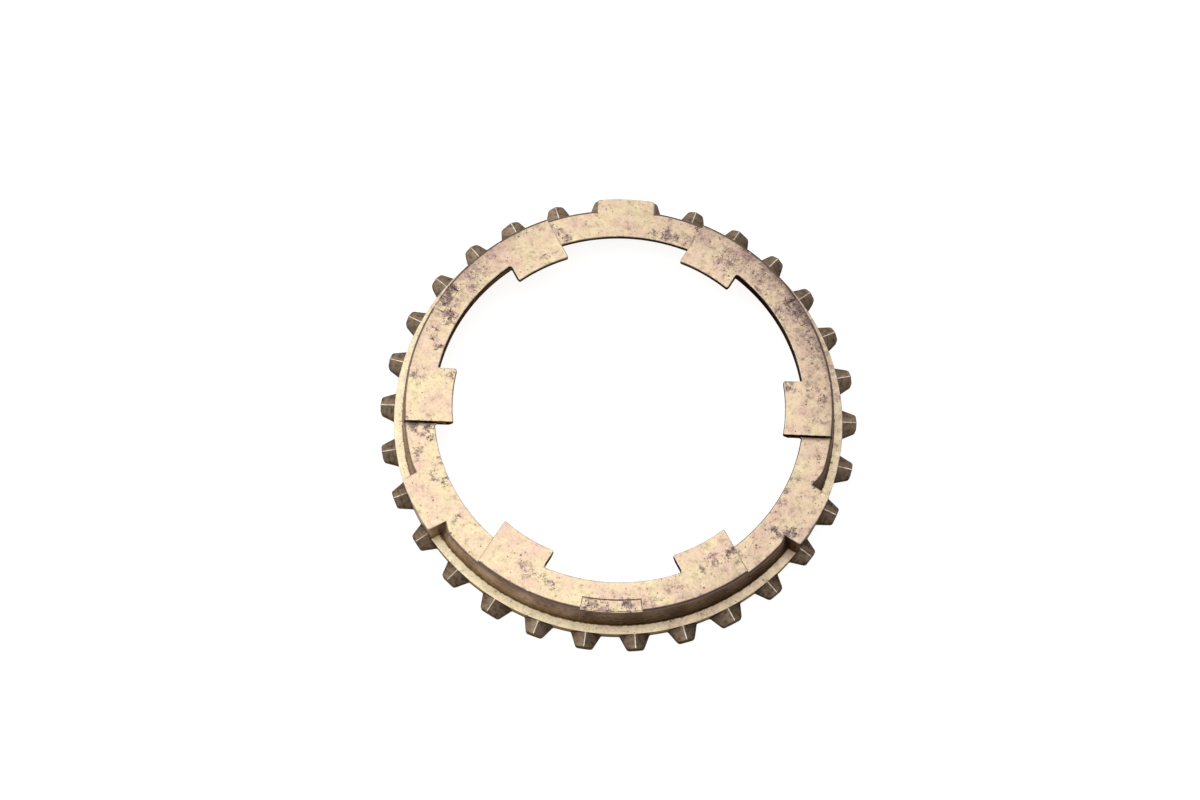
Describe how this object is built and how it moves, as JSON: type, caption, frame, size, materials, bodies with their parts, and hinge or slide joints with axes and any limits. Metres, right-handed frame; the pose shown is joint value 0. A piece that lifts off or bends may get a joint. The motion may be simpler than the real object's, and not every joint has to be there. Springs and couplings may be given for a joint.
{
  "type": "synchronizer ring",
  "caption": "Brass synchronizer ring: roof-shaped dog teeth round the rim, a stepped web with lugs into the open centre and a friction cone with oil channels.",
  "frame": {"origin": "on the ring's axis, in the plane of the flat gear side that the teeth end in", "axes": "+Z along the ring's axis from the gear side to the hub side, where the web and lugs are; +Y through the middle of one outer block; +X through the middle of one lug and one dog tooth"},
  "size_m": [0.093, 0.0928, 0.0095],
  "materials": {
    "brass": "satin"
  },
  "bodies": {
    "root": {"synchronizer_ring": "brass"}
  },
  "joints": []
}
